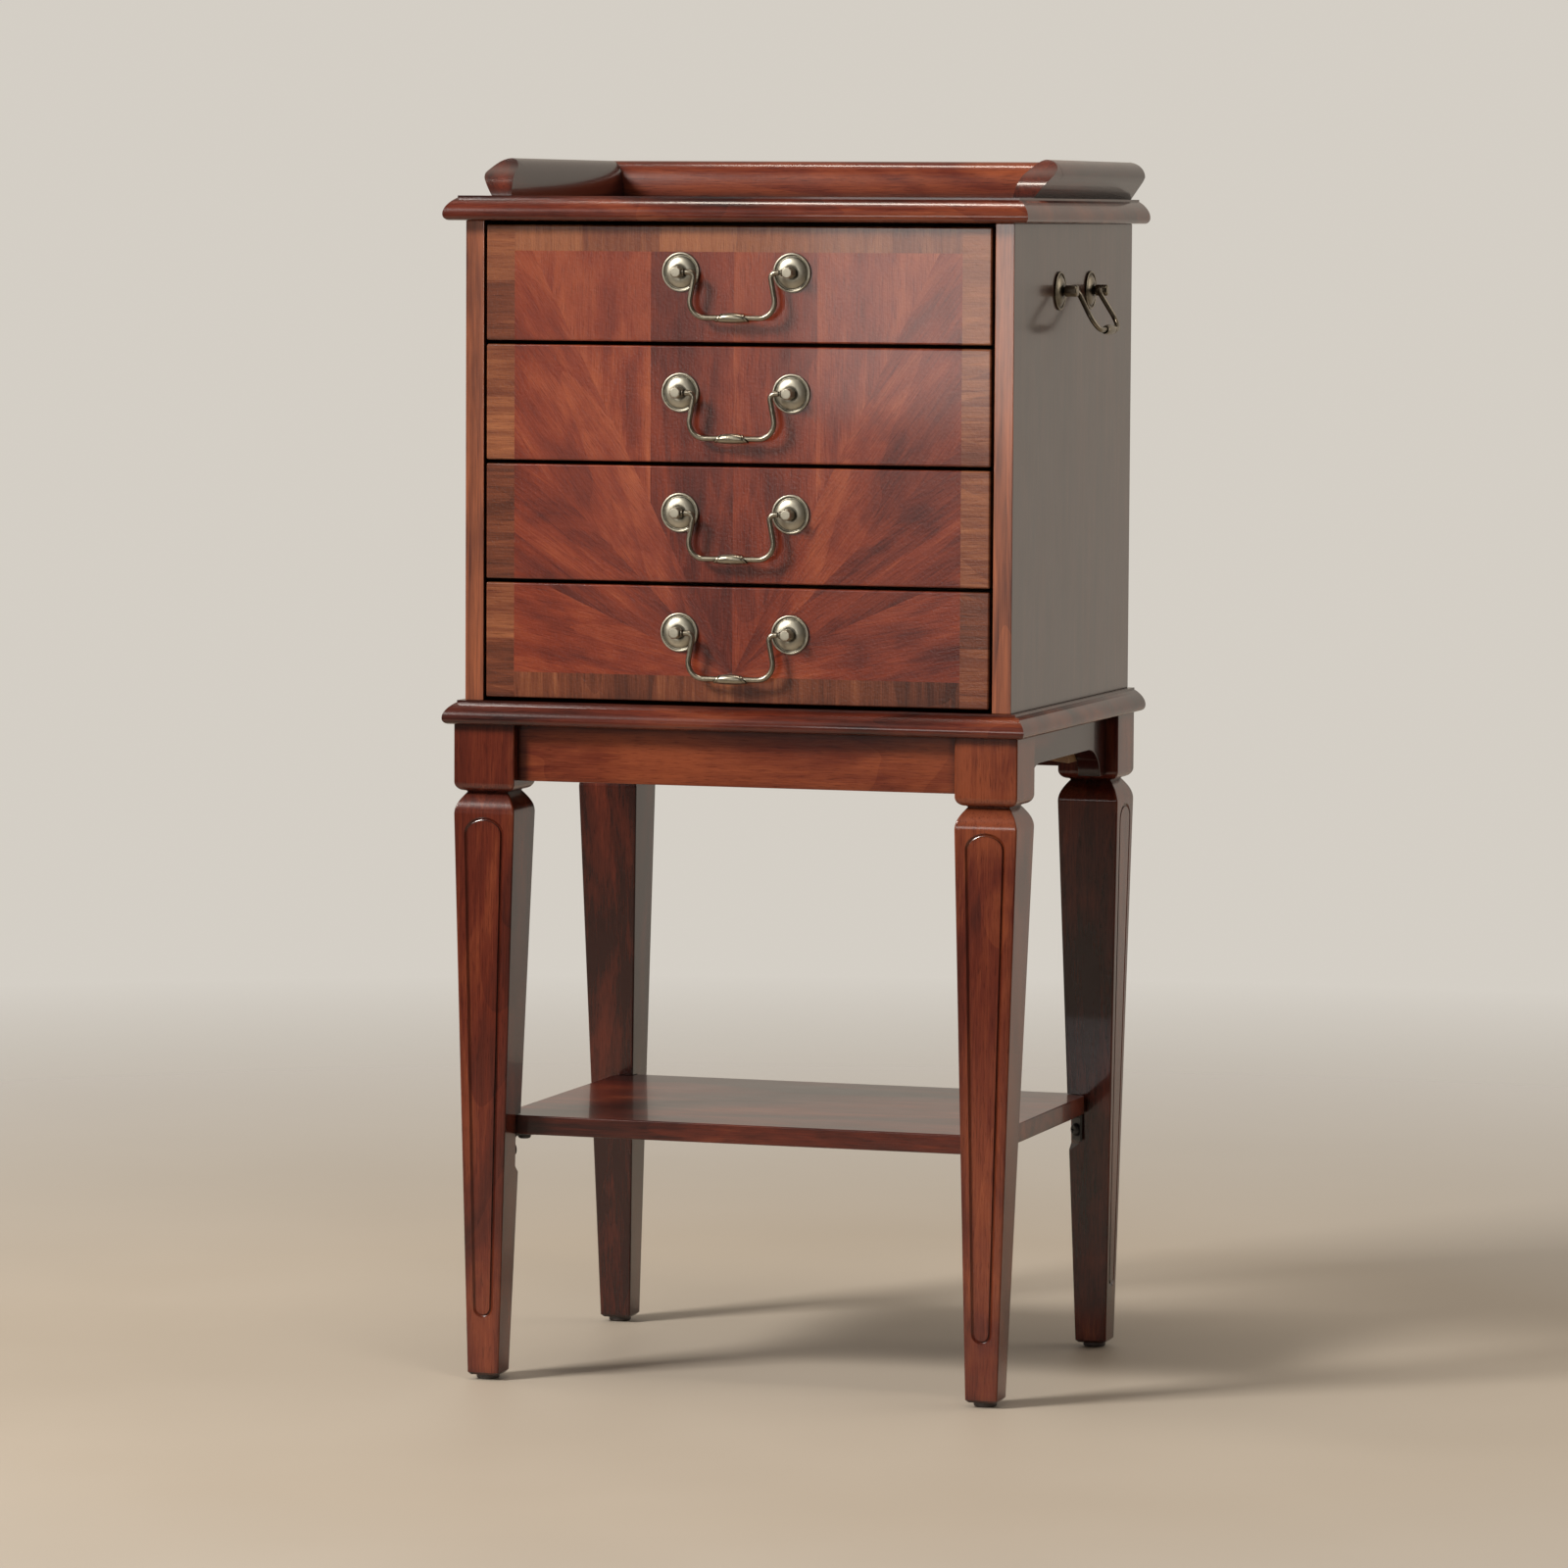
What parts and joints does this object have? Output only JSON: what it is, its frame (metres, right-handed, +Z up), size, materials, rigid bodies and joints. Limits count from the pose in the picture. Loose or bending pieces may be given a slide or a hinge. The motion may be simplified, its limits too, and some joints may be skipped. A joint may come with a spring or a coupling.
{
  "type": "jewelry armoire",
  "caption": "Chest of small jewelry drawers with bail pulls and a scrolled tray rim, standing on four tapered legs joined by arched aprons and a low shelf.",
  "frame": {"origin": "on the floor, under the middle of the whole piece", "axes": "+X to the right as seen from the front, +Y to the back, +Z up; the drawers open towards -Y"},
  "size_m": [0.5016, 0.3598, 0.9475],
  "materials": {
    "cherry": "reddish-brown cherry under a glossy lacquer",
    "drawer_veneer": "radial matched veneer with a cross-banded border, glossy lacquer",
    "side_veneer": "straight-grained veneer under a glossy lacquer",
    "back_board": "dark stained board",
    "box_wood": "pale hardwood under a thin satin lacquer",
    "felt": "wine red felt",
    "pewter": "antique pewter plating, darker in the recesses",
    "black_steel": "black satin paint",
    "glide_plastic": "dark moulded plastic"
  },
  "bodies": {
    "root": {"top_panel": "cherry", "rim_left": "cherry", "rim_right": "cherry", "rim_back": "cherry", "side_panel_left": "side_veneer", "side_panel_right": "side_veneer", "back_panel": "back_board", "base_panel": "cherry", "drawer_runners": "box_wood", "leg_front_left": "cherry", "leg_front_right": "cherry", "leg_rear_left": "cherry", "leg_rear_right": "cherry", "apron_front": "cherry", "apron_rear": "cherry", "apron_left": "cherry", "apron_right": "cherry", "corner_braces": "box_wood", "shelf": "cherry", "shelf_brackets": "black_steel", "bracket_screws": "black_steel", "foot_glides": "glide_plastic", "handle_rosettes": "pewter", "handle_posts": "pewter"},
    "drawer_1": {"drawer_1_front": "drawer_veneer", "drawer_1_sides": "box_wood", "drawer_1_back": "box_wood", "drawer_1_bottom": "box_wood", "drawer_1_lining": "felt", "drawer_1_rosettes": "pewter", "drawer_1_posts": "pewter", "top_drawer_divider": "box_wood", "ring_rolls": "felt"},
    "bail_1": {"drawer_1_bail": "pewter"},
    "drawer_2": {"drawer_2_front": "drawer_veneer", "drawer_2_sides": "box_wood", "drawer_2_back": "box_wood", "drawer_2_bottom": "box_wood", "drawer_2_lining": "felt", "drawer_2_rosettes": "pewter", "drawer_2_posts": "pewter"},
    "bail_2": {"drawer_2_bail": "pewter"},
    "drawer_3": {"drawer_3_front": "drawer_veneer", "drawer_3_sides": "box_wood", "drawer_3_back": "box_wood", "drawer_3_bottom": "box_wood", "drawer_3_lining": "felt", "drawer_3_rosettes": "pewter", "drawer_3_posts": "pewter"},
    "bail_3": {"drawer_3_bail": "pewter"},
    "drawer_4": {"drawer_4_front": "drawer_veneer", "drawer_4_sides": "box_wood", "drawer_4_back": "box_wood", "drawer_4_bottom": "box_wood", "drawer_4_lining": "felt", "drawer_4_rosettes": "pewter", "drawer_4_posts": "pewter"},
    "bail_4": {"drawer_4_bail": "pewter"},
    "handle_left": {"handle_bail_left": "pewter"},
    "handle_right": {"handle_bail_right": "pewter"}
  },
  "joints": [
    {"name": "drawer_1_slide", "type": "slide", "parent": "root", "child": "drawer_1", "axis": [0, -1, 0], "range_m": [0, 0.22]},
    {"name": "bail_1_swing", "type": "hinge", "parent": "drawer_1", "child": "bail_1", "pos_m": [0, -0.1754, 0.86075], "axis": [-1, 0, 0], "range_deg": [-8, 110]},
    {"name": "drawer_2_slide", "type": "slide", "parent": "root", "child": "drawer_2", "axis": [0, -1, 0], "range_m": [0, 0.22]},
    {"name": "bail_2_swing", "type": "hinge", "parent": "drawer_2", "child": "bail_2", "pos_m": [0, -0.1754, 0.76915], "axis": [-1, 0, 0], "range_deg": [-8, 110]},
    {"name": "drawer_3_slide", "type": "slide", "parent": "root", "child": "drawer_3", "axis": [0, -1, 0], "range_m": [0, 0.22]},
    {"name": "bail_3_swing", "type": "hinge", "parent": "drawer_3", "child": "bail_3", "pos_m": [0, -0.1754, 0.67755], "axis": [-1, 0, 0], "range_deg": [-8, 110]},
    {"name": "drawer_4_slide", "type": "slide", "parent": "root", "child": "drawer_4", "axis": [0, -1, 0], "range_m": [0, 0.22]},
    {"name": "bail_4_swing", "type": "hinge", "parent": "drawer_4", "child": "bail_4", "pos_m": [0, -0.1754, 0.58595], "axis": [-1, 0, 0], "range_deg": [-8, 110]},
    {"name": "handle_left_swing", "type": "hinge", "parent": "root", "child": "handle_left", "pos_m": [-0.2297, 0.0069, 0.8475], "axis": [0, 1, 0], "range_deg": [-38, 80]},
    {"name": "handle_right_swing", "type": "hinge", "parent": "root", "child": "handle_right", "pos_m": [0.2297, 0.0069, 0.8475], "axis": [0, -1, 0], "range_deg": [-38, 80]}
  ]
}
